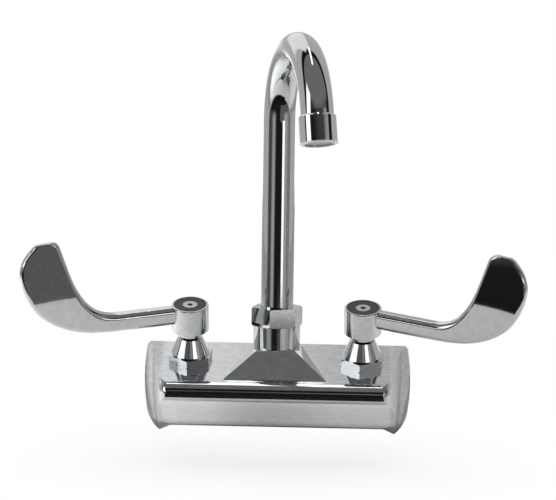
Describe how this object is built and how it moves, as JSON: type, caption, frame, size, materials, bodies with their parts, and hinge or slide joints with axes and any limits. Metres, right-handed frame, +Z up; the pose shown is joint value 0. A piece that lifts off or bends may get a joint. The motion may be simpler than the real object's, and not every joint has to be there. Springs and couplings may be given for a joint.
{
  "type": "wall-mounted hand sink faucet",
  "caption": "Wall-mounted basin faucet with a sloping cast body, a hot and a cold wrist-blade lever and a swivelling gooseneck spout with an aerator.",
  "frame": {"origin": "in the wall plane on the gasket rear face, midway between the two inlet shanks", "axes": "+Y into the wall, along the inlet shanks; +Z up, along the spout riser; X along the wall"},
  "size_m": [0.291, 0.161, 0.2442],
  "materials": {
    "chrome_casting": "polished chrome plate on cast brass",
    "chrome_turned": "polished chrome plate on turned brass",
    "chrome_tube": "polished chrome plate on bent brass tube",
    "index_plastic": "moulded dark grey plastic, fine texture",
    "screw_steel": "stainless steel, turned",
    "brass": "plain machined brass",
    "washer_steel": "zinc-plated steel",
    "ceramic": "lapped white ceramic",
    "rubber": "black rubber",
    "aerator_plastic": "moulded white plastic"
  },
  "bodies": {
    "base": {"faucet_body": "chrome_casting", "wall_gasket": "rubber", "spout_nut": "chrome_turned", "mounting_washer_left": "washer_steel", "mounting_nut_left": "brass", "valve_nut_left": "chrome_turned", "valve_skirt_left": "chrome_turned", "cartridge_body_left": "brass", "seat_seal_left": "rubber", "fixed_disc_left": "ceramic", "mounting_washer_right": "washer_steel", "mounting_nut_right": "brass", "valve_nut_right": "chrome_turned", "valve_skirt_right": "chrome_turned", "cartridge_body_right": "brass", "seat_seal_right": "rubber", "fixed_disc_right": "ceramic"},
    "spout": {"spout_tube": "chrome_tube", "spout_spigot": "brass", "spout_o_rings": "rubber", "aerator_housing": "chrome_turned", "aerator_washer": "rubber", "aerator_insert": "aerator_plastic"},
    "left_handle": {"handle_left": "chrome_casting", "index_ring_left": "index_plastic", "handle_screw_left": "screw_steel", "valve_stem_left": "brass", "stem_o_ring_left": "rubber", "moving_disc_left": "ceramic"},
    "right_handle": {"handle_right": "chrome_casting", "index_ring_right": "index_plastic", "handle_screw_right": "screw_steel", "valve_stem_right": "brass", "stem_o_ring_right": "rubber", "moving_disc_right": "ceramic"}
  },
  "joints": [
    {"name": "left_handle_turn", "type": "hinge", "parent": "base", "child": "left_handle", "pos_m": [-0.0508, -0.02165, 0.01917], "axis": [0, -0.3007, 0.9537], "range_deg": [0, 90]},
    {"name": "right_handle_turn", "type": "hinge", "parent": "base", "child": "right_handle", "pos_m": [0.0508, -0.02165, 0.01917], "axis": [0, -0.3007, 0.9537], "range_deg": [-90, 0]},
    {"name": "spout_swivel", "type": "hinge", "parent": "base", "child": "spout", "pos_m": [0, -0.022, 0.047], "axis": [0, 0, 1], "range_deg": [-105.9, 74.1]}
  ]
}
